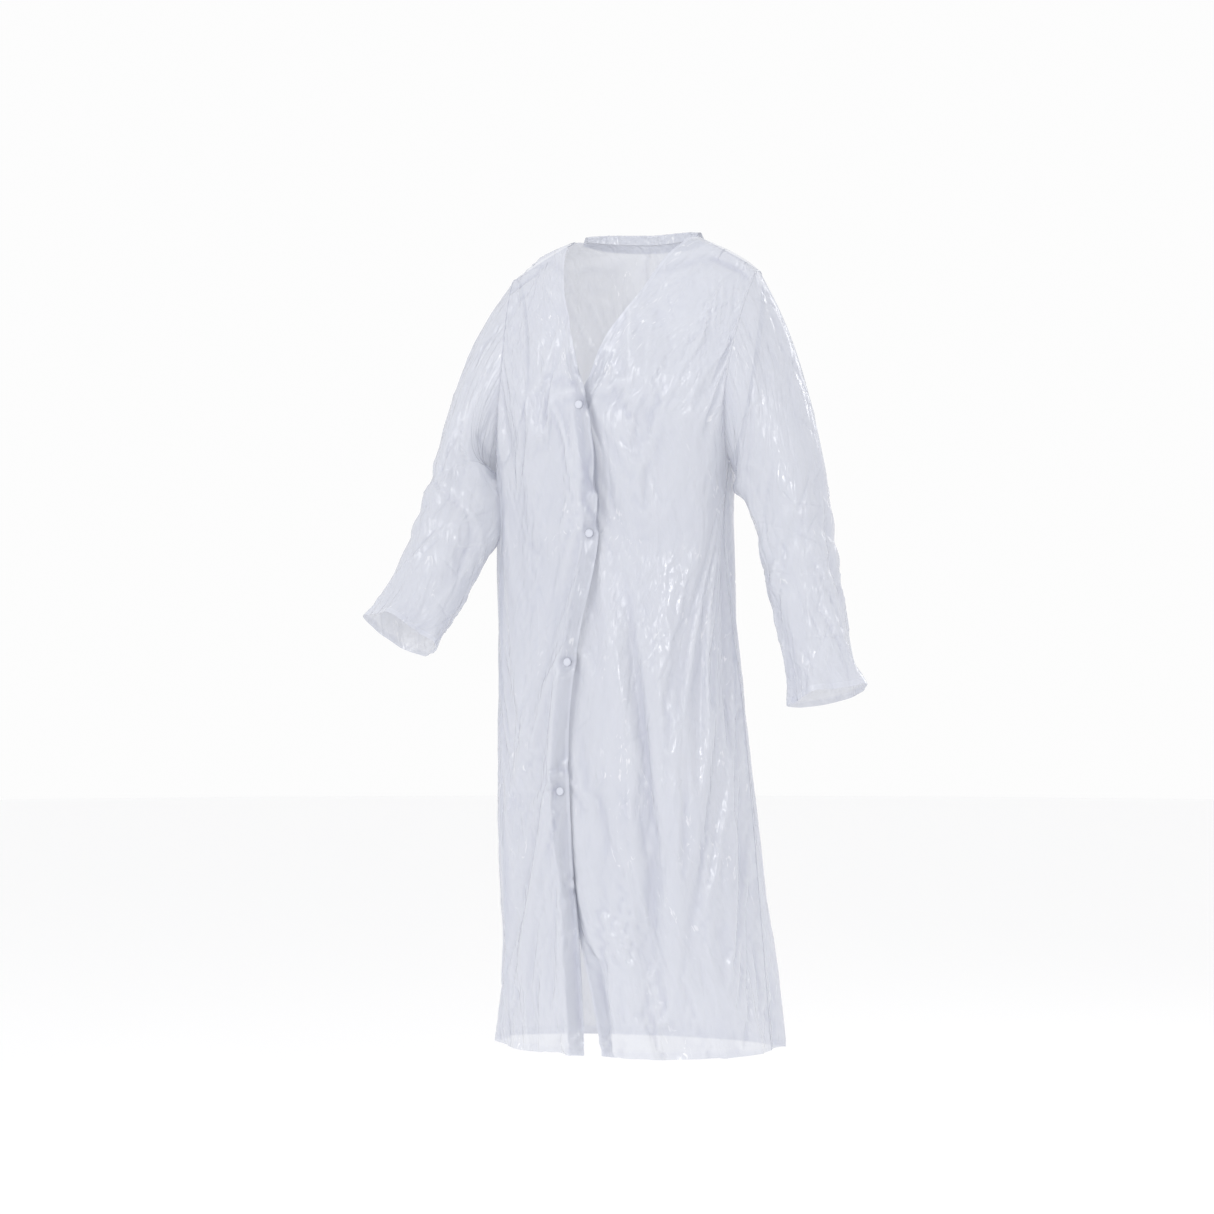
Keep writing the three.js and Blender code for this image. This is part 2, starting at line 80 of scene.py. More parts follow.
# %% Wires
class Wire:
    """One output socket that does sums."""

    def __init__(self, finish, socket):
        self.finish, self.socket = finish, socket

    def maths(self, operation, *values):
        return self.finish.node("Math", {"operation": operation}, dict(enumerate(values)))["Value"]

    def __add__(self, other):
        return self.maths("ADD", self, other)

    def __sub__(self, other):
        return self.maths("SUBTRACT", self, other)

    def __rsub__(self, other):
        return self.maths("SUBTRACT", other, self)

    def __mul__(self, other):
        return self.maths("MULTIPLY", self, other)

    __radd__ = __add__
    __rmul__ = __mul__

    def between(self, low, high):
        """0 below low, 1 above high and smooth in between."""
        inputs = {"Value": self, "From Min": low, "From Max": high}
        return self.finish.node("MapRange", {"interpolation_type": "SMOOTHSTEP"}, inputs)["Result"]


# %% Finishes
class Finish:
    """A material and the nodes in it."""

    def __init__(self, name):
        self.material = bpy.data.materials.new(name)
        self.material.use_nodes = True
        self.tree = self.material.node_tree
        self.tree.nodes.clear()

    def node(self, kind, settings=None, inputs=None):
        """Adds a node, sets it up, fills or links its sockets and returns its outputs by name."""
        node = self.tree.nodes.new("ShaderNode" + kind)
        for name, value in (settings or {}).items():
            setattr(node, name, value)
        for name, value in (inputs or {}).items():
            if isinstance(value, Wire):
                self.tree.links.new(value.socket, node.inputs[name])
            else:
                node.inputs[name].default_value = value
        return {output.name: Wire(self, output) for output in node.outputs if output.enabled}

    def mix(self, share, low, high):
        """A colour between two colours."""
        inputs = {0: share, 6: low, 7: high}
        return self.node("Mix", {"data_type": "RGBA", "clamp_factor": True}, inputs)["Result"]

    def place(self, stretch=(1, 1, 1)):
        """The place on the sheet's own map, in metres, stretched by three numbers."""
        flat = self.node("UVMap", {"uv_map": "cut"})["UV"]
        return self.node("Mapping", {}, {"Vector": flat, "Scale": stretch})["Vector"]

    def noise(self, where, scale, detail=3, warp=0):
        inputs = {"Vector": where, "Scale": scale, "Detail": detail, "Distortion": warp}
        return self.node("TexNoise", {}, inputs)["Fac"]

    def stand_off(self, amount, direction, scale):
        """A place pushed about by a coarse noise, so that a regular pattern on it wanders."""
        drift = self.node("TexNoise", {}, {"Vector": direction, "Scale": scale, "Detail": 2})["Color"]
        moved = self.node("VectorMath", {"operation": "SCALE"}, {0: drift, "Scale": amount})["Vector"]
        return self.node("VectorMath", {"operation": "ADD"}, {0: direction, 1: moved})["Vector"]

    def cells(self, where, scale):
        """Distance to the nearest edge of a net of random cells."""
        settings = {"feature": "DISTANCE_TO_EDGE"}
        return self.node("TexVoronoi", settings, {"Vector": where, "Scale": scale})["Distance"]

    def surface(self, **inputs):
        """Ends the tree with one Principled surface."""
        sockets = {}
        for name, value in inputs.items():
            sockets[name.replace("_", " ").title().replace("Ior", "IOR")] = value
        shader = self.node("BsdfPrincipled", {}, sockets)["BSDF"]
        self.node("OutputMaterial", {}, {"Surface": shader})
        return self.material


# %% [markdown]
# ## The film's finish
# Thin film is neither glass nor paper. It lets part of the light straight through, scatters the
# rest as a milky lavender white, and its skin is glossy. Where it was folded for packing it
# keeps a net of long sharp creases that catch the light as small glints. So the finish has four
# parts: a see-through share that drops where layers or welds are thicker, a cloudy colour that
# is darker in the hollows of the folds and lighter on their crests as painted shade and light, a
# gloss that varies, and a bump made of two nets of creases and a fine cockle. White flecks in
# loose patches are painted glints.

# %% Film
def film(name, clear, cloud, deep):
    """Milky film. clear is the share of light that passes straight through a single layer."""
    finish = Finish(name)
    sheet = finish.place()
    upright = finish.place((1, 0.32, 1))
    dense = finish.node("Attribute", {"attribute_name": "dense"})["Fac"]
    fold_shade = finish.node("Attribute", {"attribute_name": "fold_shade"})["Fac"]
    drift = finish.stand_off(0.03, upright, 11)
    long_net = finish.cells(drift, 26)
    small_net = finish.cells(finish.stand_off(0.012, upright, 40), 75)
    cockle = finish.noise(upright, 150, 4, 0.6)
    cloudy = finish.noise(sheet, 9, 4, 0.8)
    streaks = finish.noise(finish.place((1, 0.12, 1)), 60, 3, 0.3)
    # painted glints: white flecks in loose patches stand in for small highlights on the film
    glint_patches = finish.noise(finish.place((1, 0.6, 1)), 13, 2, 0.5).between(0.5, 0.66)
    painted_glints = finish.noise(finish.place((1, 0.4, 1)), 120, 2, 1.2).between(0.6, 0.72) * glint_patches
    # painted shade and light: the share read from the sheet's hollows darkens the colour toward deep
    # in the folds and lightens it on their crests
    tone_and_fold_shade = cloudy * 0.5 + streaks * 0.35 + fold_shade * 0.4
    milky = finish.mix(tone_and_fold_shade.between(0.3, 0.95), cloud, deep)
    # the near-white colour that the painted glints are mixed toward
    colour = finish.mix(painted_glints * 0.75, milky, (0.93, 0.935, 0.96, 1))
    crease = long_net.between(0, 0.12) * 0.4 + small_net.between(0, 0.2) * 0.16 + cockle * 0.26
    bump = finish.node("Bump", {}, {"Height": crease, "Strength": 0.6, "Distance": 0.003})
    gloss = cloudy.between(0.25, 0.8) * 0.14 + streaks * 0.12 + 0.08
    passes = (1 - dense) * (clear - 0.16 * cloudy)
    return finish.surface(
        base_color=colour, roughness=gloss, alpha=1 - passes, normal=bump["Normal"],
        ior=1.51, specular_ior_level=0.62,
    )


# deep is the film's darker tone, and also the painted shade in the hollows of the folds
milky_film = film("milky_film", 0.42, (0.633, 0.652, 0.724, 1), (0.509, 0.528, 0.630, 1))
folded_film = film("folded_film", 0.3, (0.657, 0.676, 0.743, 1), (0.533, 0.552, 0.649, 1))
print("film finishes", milky_film.name, folded_film.name)

# %% [markdown]
# ## The snaps' finish
# The press studs are moulded plastic of much the same white as the film, so their finish is a
# plain colour with a faint grain. Their shapes are the CAD model's own.

# %% Snap plastic
def snap_plastic():
    """Moulded polyethylene: white, slightly waxy, with a faint grain."""
    finish = Finish("snap_plastic")
    where = finish.node("TexCoord")["Object"]
    grain = finish.noise(where, 900, 3)
    colour = finish.mix(grain, (0.575, 0.594, 0.672, 1), (0.632, 0.651, 0.724, 1))
    bump = finish.node("Bump", {}, {"Height": grain, "Strength": 0.2, "Distance": 0.0003})
    return finish.surface(base_color=colour, roughness=grain * 0.2 + 0.3, normal=bump["Normal"])


snap_finish = snap_plastic()
print("snap finish", snap_finish.name)

# %% [markdown]
# ## Curves and grids
# A sheet is a grid of points worked out from two numbers, so whole arrays do the work. A smooth
# curve through a few given pairs gives every edge and size.

# %% Smooth curve
def through(*pairs):
    """A curve through (position, value) pairs: a cubic between neighbours, each end taking the
    slope between the pairs either side of it."""
    at, value = np.array(pairs, float).T
    slope = np.gradient(value, at)
    slope[1:-1] = (value[2:] - value[:-2]) / (at[2:] - at[:-2])

    def curve(position):
        p = np.clip(position, at[0], at[-1])
        i = np.clip(np.searchsorted(at, p, side="right") - 1, 0, len(at) - 2)
        span = at[i + 1] - at[i]
        t = (p - at[i]) / span
        start = (1 + 2 * t) * (1 - t) ** 2 * value[i] + t * (1 - t) ** 2 * span * slope[i]
        return start + t * t * (3 - 2 * t) * value[i + 1] + t * t * (t - 1) * span * slope[i + 1]

    return curve


def mixed(low, high, share):
    """low where share is 0, high where it is 1, and on the straight line between."""
    return low + (high - low) * share


def eased(value, low, high):
    """0 below low, 1 above high, and 3t^2 - 2t^3 between."""
    t = np.clip((value - low) / (high - low), 0, 1)
    return t * t * (3 - 2 * t)


def signed_power(value, power):
    """A power of the size of value, which keeps its sign."""
    return np.sign(value) * np.abs(value) ** power


# %% [markdown]
# ## The form that the film hangs over
# The form is the CAD model's own: at each height a rounded box with its own middle and half
# sizes, which closes in over the shoulders. Repeating it here lets each sheet lie where its CAD
# solids lie. Lengths are in metres, and the origin is the middle of the neck.

# %% Sizes
length, armpit, shoulder = 1.15, 0.32, 0.054
neck_half, shoulder_half = 0.093, 0.185
overlap, facing, stack = 0.027, 0.024, 0.0082
squareness, closing_power = 2.3, 2.2

# Each level: height, middle across, middle in depth, half the width, half the depth.
levels = np.array([
    [-1.150, 0.010, -0.015, 0.199, 0.150], [-0.690, -0.018, -0.015, 0.187, 0.132],
    [-0.440, -0.031, -0.015, 0.170, 0.113], [-0.320, -0.025, -0.018, 0.173, 0.114],
    [-0.190, -0.009, -0.016, 0.191, 0.114], [-0.054, 0, 0, 0.204, 0.114],
    [0, 0, 0.004, 0.204, 0.114],
])
middle_x, middle_y, half_width, half_depth = (
    through(*levels[:, [0, k]]) for k in range(1, 5)
)
shoulder_line = through((0, 0.045), (0.093, -0.002), (0.185, -0.054), (0.210, -0.076))
armhole = through((-0.320, 0.173), (-0.190, 0.172), (-0.054, 0.185))
print("width of the form at the hem", round(2 * float(half_width(-length)), 3))


# %% Form
def closing(x, z):
    """1 below the arms, falling to 0 on the shoulder ridge, as a rounded corner does."""
    height = np.clip((z + armpit) / (shoulder_line(np.abs(x)) + armpit), 0, 1)
    return (1 - height ** closing_power) ** (1 / closing_power)


def angle_of(x, z):
    """The angle round the body, from 0 in the middle to a quarter turn at the side."""
    share = np.clip((x - middle_x(z)) / half_width(z), -1, 1)
    return np.arcsin(signed_power(share, squareness / 2))


def form(angle, z, face):
    """A point on the form; face is -1 on the front and 1 on the back."""
    x = middle_x(z) + half_width(z) * signed_power(np.sin(angle), 2 / squareness)
    reach = half_depth(z) * np.clip(np.cos(angle), 0, 1) ** (2 / squareness) * closing(x, z)
    return np.stack([x, middle_y(z) + face * (0.00025 + reach), z + 0 * x], -1)


def side_edge(side, z):
    """The side seam below the arm and the armhole seam above it, as an angle."""
    below = side * np.pi / 2 + 0 * z
    return np.where(z <= -armpit, below, angle_of(middle_x(z) + side * armhole(z), z))


# %% [markdown]
# ## Folds and creases
# Two kinds of relief are pressed into the film. Drapes are long soft folds that hang from where
# the film is held: the shoulders, the armpits and the closed front at the waist. Packing
# creases are short, sharp and everywhere. Both are sums of ridges: a drape falls away from its
# line as a bell curve, and a crease as a tent with a sharp crest.

# %% Relief
def drape(x, z, line, width, height):
    """A fold along the line x(z): height times a bell of the distance from it. height runs over
    z and is zero beyond its ends."""
    return height(z) * np.exp(-(((x - line(z)) / width(z)) ** 2))


def creases(x, z, seed, count, reach, width, height, lean):
    """Short straight ridges at random places: a sharp tent across and a bell along each."""
    dice = np.random.default_rng(seed)
    low, high = (x.min(), z.min()), (x.max(), z.max())
    total = np.zeros_like(x)
    places = dice.uniform(low, high, (count, 2))
    turns = dice.normal(0, lean, count)
    sizes = dice.uniform(0.4, 1, (count, 3))
    signs = dice.choice([-1, 1], count)
    for (cx, cz), turn, (a, b, c), sign in zip(places, turns, sizes, signs):
        off = (x - cx) * np.cos(turn) - (z - cz) * np.sin(turn)
        along = (x - cx) * np.sin(turn) + (z - cz) * np.cos(turn)
        total += sign * height * a * np.exp(-np.abs(off) / (width * b) - (along / (reach * c)) ** 2)
    return total


def normals(grid, away):
    """Unit normals of a grid, each turned to the side that away points to."""
    across, along = np.gradient(grid, axis=1), np.gradient(grid, axis=0)
    normal = np.cross(across, along)
    normal /= np.linalg.norm(normal, axis=-1, keepdims=True) + 1e-12
    return normal * np.where((normal * away).sum(-1, keepdims=True) < 0, -1, 1)


def away_from_body(grid):
    """From the middle of the body outwards."""
    z = grid[..., 2]
    return grid - np.stack([middle_x(z), middle_y(z), np.minimum(z, -armpit)], -1)


# %% Finer grid
def finer(grid, times):
    """A grid with times as many steps each way, each new point on a smooth cubic through the
    four nearest old ones."""
    for axis in (0, 1):
        count = grid.shape[axis]
        place = np.linspace(0, count - 1, (count - 1) * times + 1)
        i = np.minimum(place.astype(int), count - 2)
        t = (place - i).reshape((-1, 1, 1) if axis == 0 else (1, -1, 1))
        a, b, c, d = (np.take(grid, np.clip(i + k, 0, count - 1), axis) for k in (-1, 0, 1, 2))
        grid = 0.5 * (2 * b + (c - a) * t + (2 * a - 5 * b + 4 * c - d) * t ** 2
                      + (3 * b - a - 3 * c + d) * t ** 3)
    return grid


# %% [markdown]
# ## From a grid to a sheet
# The grid's squares become faces, its lengths become a flat map of the cut, and two more
# numbers go with every point: how dense the film is there, and how far it lies in a hollow. That
# second number darkens the colour in hollows and lightens it on crests, as painted shade and light.

# %% Sheet
def lengths(grid, axis):
    """Distance run along each row or column of a grid, from its first point."""
    step = np.linalg.norm(np.diff(grid, axis=axis), axis=-1)
    return np.insert(np.cumsum(step, axis=axis), 0, 0, axis=axis)


def squares(number):
    """The corners of each square of a grid of point numbers, in order round the square."""
    return np.stack([number[:-1, :-1], number[:-1, 1:], number[1:, 1:], number[1:, :-1]], -1)


def sum_area(mesh):
    """The area of all faces."""
    area = np.empty(len(mesh.polygons))
    mesh.polygons.foreach_get("area", area)
    return float(area.sum())


def hollows(grid, outward):
    """How far each point lies below its own surroundings, smoothed over ten steps."""
    smooth = grid.copy()
    for _ in range(10):
        smooth[1:-1, 1:-1] = 0.25 * (smooth[:-2, 1:-1] + smooth[2:, 1:-1]
                                     + smooth[1:-1, :-2] + smooth[1:-1, 2:])
    return ((smooth - grid) * normals(grid, outward)).sum(-1)


def make_sheet(name, grid, finish, outward, dense=0.0, closed=False):
    """A single sheet through a grid of points. closed joins the last column to the first."""
    rows, columns = grid.shape[:2]
    number = np.arange(rows * columns).reshape(rows, columns)
    if closed:
        number = np.column_stack([number, number[:, 0]])
    faces = squares(number)
    a, b, d = (grid.reshape(-1, 3)[faces[..., k]] for k in (0, 1, 3))
    facing_out = (np.cross(b - a, d - a) * outward[: rows - 1, : faces.shape[1]]).sum()
    if facing_out < 0:
        faces = faces[..., ::-1]
    mesh = bpy.data.meshes.new(name)
    mesh.from_pydata(grid.reshape(-1, 3), [], faces.reshape(-1, 4))
    cut = np.stack([lengths(grid, 1), lengths(grid, 0)], -1).reshape(-1, 2)
    if closed:
        seam = cut.reshape(rows, columns, 2)
        extra = np.linalg.norm(grid[:, -1] - grid[:, 0], axis=-1) + seam[:, -1, 0]
        wide = np.column_stack([seam, np.stack([extra, seam[:, -1, 1]], -1)[:, None]])
        place = np.arange(rows * (columns + 1)).reshape(rows, columns + 1)
        corners = squares(place)
        if facing_out < 0:
            corners = corners[..., ::-1]
        flat_map = wide.reshape(-1, 2)[corners.reshape(-1)]
    else:
        flat_map = cut[faces.reshape(-1)]
    mesh.uv_layers.new(name="cut").data.foreach_set("uv", flat_map.astype(np.float32).ravel())
    # painted shade and light: how far each point lies in a hollow, which later darkens or lightens the
    # film's colour
    depth, full_hollow = hollows(grid, outward), 0.002
    fold_shade = np.clip(depth / full_hollow, -1, 1)
    for label, value in (("dense", dense + 0 * depth), ("fold_shade", fold_shade)):
        layer = mesh.attributes.new(label, "FLOAT", "POINT")
        layer.data.foreach_set("value", np.asarray(value, np.float32).ravel())
    mesh.materials.append(finish)
    mesh.shade_smooth()
    piece = bpy.data.objects.new(name, mesh)
    bpy.context.collection.objects.link(piece)
    print(name, len(mesh.vertices), "points, area", round(sum_area(mesh), 3))
    return piece


# %% [markdown]
# ## Letting the film settle
# Listed folds look combed until gravity has had them. A short cloth simulation on a coarse
# grid lets the back and both fronts sag and buckle, with their welded edges and snaps held. It
# runs over a plain stand-in for the wearer, which is thrown away afterwards. The grid comes back
# with the same rows and columns, so it can be refined and creased. The sleeves and the collar
# are shaped by formula only.

# %% Stand-in body
def plain_sheet(name, grid):
    """An object with nothing but the faces through a grid of points."""
    number = np.arange(grid.shape[0] * grid.shape[1]).reshape(grid.shape[:2])
    mesh = bpy.data.meshes.new(name)
    mesh.from_pydata(grid.reshape(-1, 3), [], squares(number).reshape(-1, 4))
    thing = bpy.data.objects.new(name, mesh)
    bpy.context.collection.objects.link(thing)
    return thing


def stand_in(name, grid, thickness=0.003):
    """A hidden surface for the film to rest on."""
    body = plain_sheet(name, grid)
    body.modifiers.new("touch", "COLLISION")
    body.collision.thickness_outer = thickness
    body.collision.thickness_inner = 0.01
    body.collision.cloth_friction = 12
    body.collision.use_culling = False
    return body


# %% Settling
def settle(grid, held, supports, frames=24, growth=0.0):
    """Runs the cloth on a grid. held is how firmly each point is pinned, and growth how much
    wider and longer the film is than the grid."""
    cloth = plain_sheet("settling", grid)
    pins = cloth.vertex_groups.new(name="held")
    for level in np.unique(held[held > 0]):
        pins.add(np.flatnonzero(held == level).tolist(), float(level), "REPLACE")
    film_modifier = cloth.modifiers.new("film", "CLOTH")
    setting = film_modifier.settings
    setting.vertex_group_mass = "held"
    setting.quality = 6
    setting.mass = 0.03
    setting.tension_stiffness = setting.compression_stiffness = 18
    setting.shear_stiffness = 6
    setting.bending_stiffness = 0.06
    setting.tension_damping = setting.compression_damping = setting.shear_damping = 6
    setting.bending_damping = 0.4
    setting.air_damping = 3
    setting.shrink_min = -growth
    film_modifier.collision_settings.distance_min = 0.002
    scene = bpy.context.scene
    bodies = [stand_in(f"stand_in_{k}", support) for k, support in enumerate(supports)]
    for step in range(1, frames + 1):
        scene.frame_set(step)
    settled = cloth.evaluated_get(bpy.context.evaluated_depsgraph_get()).to_mesh()
    flat = np.empty(grid.size)
    settled.vertices.foreach_get("co", flat)
    scene.frame_set(1)
    for thing in (cloth, *bodies):
        bpy.data.objects.remove(thing)
    result = flat.reshape(grid.shape)
    print("settled, moved up to", round(float(np.linalg.norm(result - grid, axis=-1).max()), 3))
    return result


# %% Torso stand-in
def torso(face, inset):
    """One side of the wearer's body: the form, drawn in by inset."""
    z = np.linspace(-1.2, -0.02, 60)[:, None]
    angle = np.linspace(-0.5, 0.5, 40)[None, :] * np.pi * 0.98
    grid = form(angle + 0 * z, np.maximum(z, -1.15) + 0 * angle, face)
    grid[..., 2] = z
    pull = grid - np.stack([middle_x(z) + 0 * angle, middle_y(z) + 0 * angle, z + 0 * angle], -1)
    reach = np.linalg.norm(pull, axis=-1, keepdims=True) + 1e-9
    return grid - pull * np.minimum(inset / reach, 0.9)


# %% [markdown]
# ## The back
# The back is one plain sheet from side seam to side seam. On a real coat it hangs from the
# shoulder welds with a little spare width, which falls in long upright folds under the
# shoulder blades.

# %% Back
def back_grid(rows=110, columns=76):
    """The back: rows from the hem to the shoulder line, columns from the right side to the left.
    The columns follow the side edges below and stand upright near the top."""
    v, u = np.linspace(0, 1, rows)[:, None], np.linspace(0, 1, columns)[None, :]
    top_x = shoulder_half * (2 * u - 1)
    neck = mixed(-0.006, -0.002, (top_x / neck_half) ** 2)
    top = np.where(np.abs(top_x) < neck_half, neck, shoulder_line(np.abs(top_x)))
    z = mixed(-length, top, v)
    angle = mixed(side_edge(-1, z), side_edge(1, z), u)
    angle = mixed(angle, angle_of(top_x, z), eased(z, -armpit, -shoulder))
    return form(angle, z, 1)


def back_relief(grid, edge_fade):
    """Five upright drapes under the shoulder blades, and the middle-sized creases."""
    x, z = grid[..., 0], grid[..., 2]
    relief = creases(x, z, 5, 50, 0.14, 0.008, 0.0020, 0.18)
    for top, foot, tall in ((-0.11, -0.15, 0.007), (-0.06, -0.08, -0.006), (0.0, -0.02, 0.006),
                            (0.05, 0.06, -0.006), (0.10, 0.13, 0.008)):
        line = through((-1.15, foot), (-0.5, 0.6 * top - 0.012), (-0.1, top))
        spread = through((-1.15, 0.024), (-0.5, 0.016), (-0.1, 0.012))
        relief += drape(x, z, line, spread, through((-1.15, tall), (-0.6, tall), (-0.2, 0)))
    return relief * edge_fade


def back_fade(rows, columns):
    """1 inside the sheet and 0 on the side, armhole and shoulder welds."""
    v, u = np.linspace(0, 1, rows)[:, None], np.linspace(0, 1, columns)[None, :]
    return eased(np.minimum(u, 1 - u), 0, 0.07) * eased(1 - v, 0, 0.05)


grid = back_grid()
back_away = away_from_body(grid)
grid = grid + normals(grid, back_away) * back_relief(grid, back_fade(*grid.shape[:2]))[..., None]
held = np.zeros(grid.shape[:2])
held[:, [0, -1]] = 1
held[-1] = 1
grid = settle(grid, held, [torso(1, 0.014)], growth=0.004)
grid = finer(grid, 3)
fade = back_fade(*grid.shape[:2])
fine = creases(grid[..., 0], grid[..., 2], 6, 300, 0.045, 0.0024, 0.0009, 0.35) * fade
grid = grid + normals(grid, away_from_body(grid)) * fine[..., None]
hem_dense = 0.35 * (grid[..., 2] < -length + 0.008)
back = make_sheet("back_film", grid, milky_film, away_from_body(grid), hem_dense)
back_rim = grid

# %% [markdown]
# ## The fronts
# Each front is one sheet from its free edge to the side seam. Its top edge runs up the neckline
# and along the shoulder weld. The wearer's right front lies on top. The film is held by four
# snaps, so the drapes start there: a fan hangs from the waist, two long folds come down from
# the shoulders, and short ones gather at the armpits.

# %% Edges of the fronts
right, left = -1, 1
top_edge = through(
    (-1.150, -0.018), (-1.000, -0.028), (-0.850, -0.040), (-0.690, -0.044), (-0.560, -0.030),
    (-0.440, -0.009), (-0.320, -0.012), (-0.215, -0.029), (-0.150, -0.050),
)
under_edge = through(
    (-1.150, 0.008), (-1.032, -0.017), (-0.950, -0.046),
    *((z, top_edge(z) - overlap) for z in (-0.850, -0.690, -0.560, -0.440, -0.320, -0.250)),
    (-0.215, -0.032), (-0.170, -0.018), (-0.140, -0.002),
)
free_edges = {right: top_edge, left: under_edge}
lapels = {right: -0.150, left: -0.140}
necklines = {
    right: through((-0.150, -0.050), (-0.090, -0.074), (-0.040, -0.087), (-0.002, -0.093)),
    left: through((-0.140, -0.002), (-0.086, 0.039), (-0.034, 0.066), (-0.002, 0.093)),
}
snap_heights = -0.245 - 0.180 * np.arange(4)


# %% Front grid
def front_grid(side, rows=130, columns=54):
    """A front: rows from the hem to the shoulder, columns from the free edge to the side."""
    row, u = np.linspace(0, 33, rows)[:, None], np.linspace(0, 1, columns)[None, :]
    lapel = lapels[side]
    inner_z = np.interp(row, [0, 24, 28, 33], [-length, -0.330, lapel, -0.002])
    inner_x = np.where(inner_z < lapel, free_edges[side](inner_z), necklines[side](inner_z))
    outer_z = np.interp(row, [0, 24, 33], [-length, -armpit, -shoulder])
    upper = eased(row, 24, 33)
    shoulder_z = shoulder_line(mixed(neck_half, shoulder_half, u)) - mixed(-0.002, -shoulder, u)
    z = mixed(inner_z, outer_z, u) + shoulder_z * upper
    angle = mixed(angle_of(inner_x, z), side_edge(side, z), u)
    grid = form(angle, z, -1)
    if side == left:
        grid[..., 1] += stack * (1 - eased(grid[..., 0], 0.004, 0.034))
    return grid


def front_fade(rows, columns):
    """1 inside the sheet and 0 on the side, armhole and shoulder welds."""
    v, u = np.linspace(0, 1, rows)[:, None], np.linspace(0, 1, columns)[None, :]
    return eased(1 - u, 0, 0.12) * eased(1 - v, 0, 0.05)


# %% Drapes of the fronts
front_drapes = [
    # line x over z, width over z, height over z
    (((-1.15, -0.100), (-0.75, -0.072), (-0.42, -0.018)), (0.022, 0.008),
     ((-1.15, 0.008), (-0.8, 0.010), (-0.52, 0.006), (-0.42, 0))),
    (((-1.15, -0.142), (-0.75, -0.112), (-0.42, -0.030)), (0.020, 0.009),
     ((-1.15, 0.007), (-0.7, 0.008), (-0.42, 0))),
    (((-1.15, 0.050), (-0.70, 0.034), (-0.43, 0.006)), (0.022, 0.008),
     ((-1.15, 0.006), (-0.7, 0.009), (-0.43, 0))),
    (((-1.15, 0.122), (-0.80, 0.105), (-0.60, 0.072), (-0.43, 0.016)), (0.022, 0.008),
     ((-1.15, 0.008), (-0.75, 0.009), (-0.43, 0))),
    (((-1.15, 0.086), (-0.70, 0.064), (-0.55, 0.044)), (0.016, 0.010),
     ((-1.15, -0.006), (-0.75, -0.007), (-0.5, 0))),
    (((-1.15, -0.012), (-1.095, -0.0238), (-0.994, -0.033), (-0.874, -0.0452)), (0.010, 0.008),
     ((-1.15, -0.009), (-1.0, -0.009), (-0.8, 0))),
    (((-1.15, -0.036), (-1.03, -0.050), (-0.88, -0.060)), (0.012, 0.010),
     ((-1.15, 0.004), (-1.0, 0.009), (-0.84, 0))),
    (((-0.42, -0.026), (-0.28, -0.066), (-0.14, -0.112)), (0.012, 0.014),
     ((-0.44, 0), (-0.36, 0.007), (-0.2, 0.006), (-0.1, 0))),
    (((-0.42, 0.018), (-0.28, 0.070), (-0.167, 0.116), (-0.07, 0.150)), (0.012, 0.014),
     ((-0.44, 0), (-0.32, 0.006), (-0.16, 0.008), (-0.06, 0))),
    (((-0.36, -0.143), (-0.222, -0.1195)), (0.007, 0.006),
     ((-0.38, 0), (-0.3, -0.007), (-0.2, 0))),
    (((-0.30, -0.098), (-0.196, -0.0904)), (0.007, 0.006),
     ((-0.30, 0), (-0.24, -0.006), (-0.18, 0))),
    (((-1.15, 0.176), (-0.9, 0.168), (-0.62, 0.140)), (0.020, 0.012),
     ((-1.15, 0.009), (-0.85, 0.009), (-0.55, 0))),
]


def front_relief(x, z):
    """All the drapes of the closed front, the same for both layers so that they nest."""
    relief = creases(x, z, 11, 70, 0.13, 0.008, 0.0017, 0.24)
    for line, (foot, top), height in front_drapes:
        spread = through((-1.15, foot), (-0.05, top))
        relief = relief + drape(x, z, through(*line), spread, through(*height))
    return relief


# %% Fronts
def near_snaps(grid):
    """1 at a snap, falling to 0 some 20 mm away."""
    away = [np.hypot(grid[..., 0] - (top_edge(z) - overlap / 2), grid[..., 2] - z)
            for z in snap_heights]
    return 1 - eased(np.min(away, axis=0), 0.007, 0.022)


def make_front(side, name, supports):
    """One front: form, drapes, settling, refining and creasing."""
    grid = front_grid(side)
    x, z = grid[..., 0], grid[..., 2]
    fade = front_fade(*grid.shape[:2]) * (1 - near_snaps(grid))
    lift = 0.0
    if side == right:
        near_edge = np.exp(-(((x - top_edge(z)) / 0.012) ** 2))
        lift = 0.007 * near_edge * eased(z, -0.38, -0.33) * (1 - eased(z, -0.15, -0.11))
    grid = grid + normals(grid, away_from_body(grid)) * ((front_relief(x, z) + lift) * fade)[..., None]
    held = np.zeros(grid.shape[:2])
    held[near_snaps(grid) > 0.6] = 1
    held[(z > lapels[side]) & (np.arange(grid.shape[1]) == 0)] = 0.6
    held[(z < -0.83) & (np.arange(grid.shape[1]) < 3)] = 0.35
    held[0, :4] = 0.9
    held[-1], held[:, -1] = 1, 1
    grid = settle(grid, held, supports, growth=0.004)
    coarse = grid
    grid = finer(grid, 3)
    x, z = grid[..., 0], grid[..., 2]
    fade = front_fade(*grid.shape[:2]) * (1 - near_snaps(grid))
    fine = creases(x, z, 12, 300, 0.045, 0.0024, 0.0009, 0.35) * fade
    grid = grid + normals(grid, away_from_body(grid)) * fine[..., None]
    run = lengths(grid, 1)
    edge = 0.3 * (run < 0.004) + 0.3 * (grid[..., 2] < -length + 0.008)
    piece = make_sheet(name, grid, milky_film, away_from_body(grid), edge)
    return piece, grid, coarse


